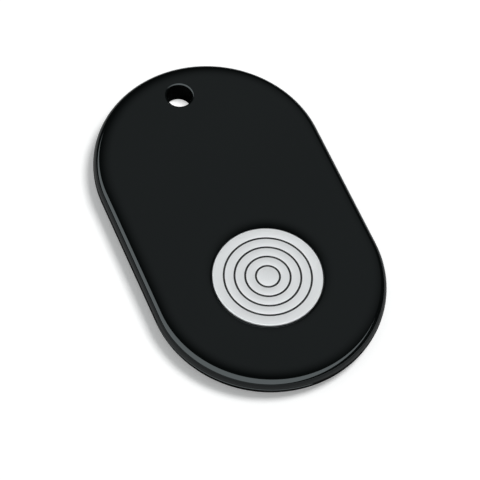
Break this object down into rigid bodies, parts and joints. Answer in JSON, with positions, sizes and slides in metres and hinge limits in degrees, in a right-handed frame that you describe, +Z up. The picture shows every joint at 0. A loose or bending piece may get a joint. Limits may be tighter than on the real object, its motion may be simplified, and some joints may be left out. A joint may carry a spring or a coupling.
{
  "type": "bluetooth tracker tag",
  "caption": "Slim black key tag with a key-ring hole, a round silver push button, a radio board, a buzzer and a coin cell behind a bayonet door in the back.",
  "frame": {"origin": "centre of the underside, on the surface the tag lies on", "axes": "+X across the tag, +Y along it towards the key-ring hole, +Z up through the button's face"},
  "size_m": [0.036, 0.0582, 0.0045],
  "materials": {
    "case_black": "high gloss",
    "door_black": "fine moulded texture",
    "cap_black": "moulded",
    "disc_silver": "satin, fine blasted",
    "groove_fill": "matt enamel",
    "adhesive_film": "clear film",
    "seal_rubber": "soft silicone",
    "switch_housing": "moulded",
    "plunger_plastic": "moulded",
    "spring_steel": "rolled",
    "board_laminate": "solder mask on glass laminate",
    "chip_resin": "moulded resin",
    "antenna_ceramic": "fired",
    "crystal_can": "drawn",
    "capacitor_ceramic": "fired",
    "resistor_ceramic": "glazed",
    "ferrite": "sintered",
    "buzzer_brass": "rolled",
    "piezo_ceramic": "silvered",
    "conductive_rubber": "soft",
    "cell_steel": "nickel plated",
    "cell_polymer": "moulded",
    "cathode_pellet": "pressed powder",
    "separator_paper": "felted",
    "anode_metal": "rolled",
    "contact_bronze": "spring temper"
  },
  "bodies": {
    "tag": {"top_shell": "case_black", "base_shell": "case_black", "seam_gasket": "seal_rubber", "button_seal": "seal_rubber", "switch_body": "switch_housing", "snap_dome": "spring_steel", "circuit_board": "board_laminate", "bluetooth_chip": "chip_resin", "chip_antenna": "antenna_ceramic", "main_crystal": "crystal_can", "clock_crystal": "crystal_can", "capacitors": "capacitor_ceramic", "resistors": "resistor_ceramic", "buzzer_inductor": "ferrite", "buzzer_transistor": "chip_resin", "buzzer_plate": "buzzer_brass", "buzzer_ceramic": "piezo_ceramic", "buzzer_pads": "conductive_rubber", "cell_can": "cell_steel", "cell_cap": "cell_steel", "cell_grommet": "cell_polymer", "cell_cathode": "cathode_pellet", "cell_separator": "separator_paper", "cell_anode": "anode_metal", "negative_contact": "contact_bronze", "positive_contact": "contact_bronze"},
    "button": {"button_cap": "cap_black", "button_disc": "disc_silver", "ring_inlays": "groove_fill", "disc_adhesive": "adhesive_film"},
    "plunger": {"switch_plunger": "plunger_plastic"},
    "door": {"battery_door": "door_black", "door_seal": "seal_rubber"}
  },
  "joints": [
    {"name": "button_press", "type": "slide", "parent": "tag", "child": "button", "axis": [0, 0, -1], "range_m": [0, 0.00025], "stiffness_N_per_m": 6400},
    {"name": "plunger_press", "type": "slide", "parent": "tag", "child": "plunger", "axis": [0, 0, -1], "range_m": [0, 0.00025], "deforming": ["snap_dome"]},
    {"name": "door_turn", "type": "hinge", "parent": "tag", "child": "door", "pos_m": [0, 0.008, 0.0006], "axis": [0, 0, -1], "range_deg": [0, 45]}
  ],
  "couplings": [
    {"joint": "plunger_press", "follows": "button_press", "ratio": 1}
  ]
}
